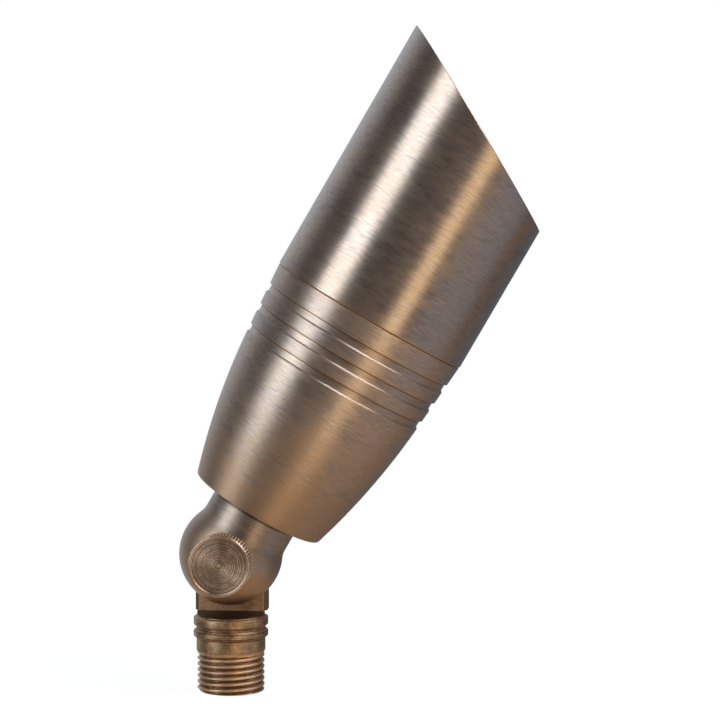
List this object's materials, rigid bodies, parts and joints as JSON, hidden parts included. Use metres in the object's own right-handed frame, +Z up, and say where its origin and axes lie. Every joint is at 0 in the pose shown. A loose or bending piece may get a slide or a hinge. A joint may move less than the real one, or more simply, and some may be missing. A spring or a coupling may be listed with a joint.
{
  "type": "landscape spotlight",
  "caption": "Bullet-shaped outdoor spotlight with an angled glare guard, a grooved housing and a clamped swivel knuckle on a pipe-threaded stem.",
  "frame": {"origin": "centre of the threaded stem's lower end", "axes": "+Z up the stem, the head leans towards +X, the thumb screw faces -Y"},
  "size_m": [0.1098, 0.0634, 0.203],
  "materials": {
    "bronze": "brushed antique bronze",
    "thumb_brass": "turned antique bronze",
    "raw_brass": "satin",
    "steel": "satin",
    "rubber": "matte",
    "ceramic": "glazed ceramic",
    "wire_cover": "matte",
    "crimp_plastic": "matte",
    "lamp_pin_metal": "tinned",
    "lamp_mirror": "faceted mirror on glass",
    "quartz": "clear",
    "lamp_glass": "clear",
    "lens_glass": "clear tempered"
  },
  "bodies": {
    "stem": {"lower_knuckle": "bronze", "wire_bushing": "rubber", "knuckle_gasket": "rubber"},
    "washer": {"screw_washer": "steel"},
    "screw": {"thumb_screw": "thumb_brass"},
    "head": {"upper_knuckle": "bronze", "flange_gasket": "rubber", "lock_washer": "steel", "knuckle_locknut": "raw_brass", "neck_grommet": "rubber", "housing": "bronze", "o_rings": "rubber", "socket_plate": "steel", "plate_screws": "steel", "socket_body": "ceramic", "socket_contacts": "raw_brass", "socket_screws": "steel", "lead_wires": "wire_cover", "crimp_connectors": "crimp_plastic", "lamp_base": "ceramic", "lamp_pins": "lamp_pin_metal", "lamp_reflector": "lamp_mirror", "lamp_capsule": "quartz", "lamp_cover_glass": "lamp_glass"},
    "lens_pack": {"snap_ring": "steel", "lens": "lens_glass", "lens_gasket": "rubber"},
    "glare_guard": {"shroud": "bronze"}
  },
  "joints": [
    {"name": "head_tilt", "type": "hinge", "parent": "stem", "child": "head", "pos_m": [0, 0, 0.0422], "axis": [0, 1, 0], "range_deg": [-120, 60]},
    {"name": "screw_travel", "type": "slide", "parent": "stem", "child": "washer", "axis": [0, -1, 0], "range_m": [0, 0.0038]},
    {"name": "screw_turn", "type": "hinge", "parent": "washer", "child": "screw", "pos_m": [0, 0, 0.0422], "axis": [0, -1, 0], "range_deg": [0, 1080]},
    {"name": "guard_pull", "type": "slide", "parent": "head", "child": "lens_pack", "axis": [0.5015, 0, 0.8652], "range_m": [0, 0.04]},
    {"name": "guard_turn", "type": "hinge", "parent": "lens_pack", "child": "glare_guard", "pos_m": [0, 0, 0.0422], "axis": [0.5015, 0, 0.8652], "continuous": true}
  ],
  "couplings": [
    {"joint": "screw_turn", "follows": "screw_travel", "rad_per_m": 4947.4}
  ]
}
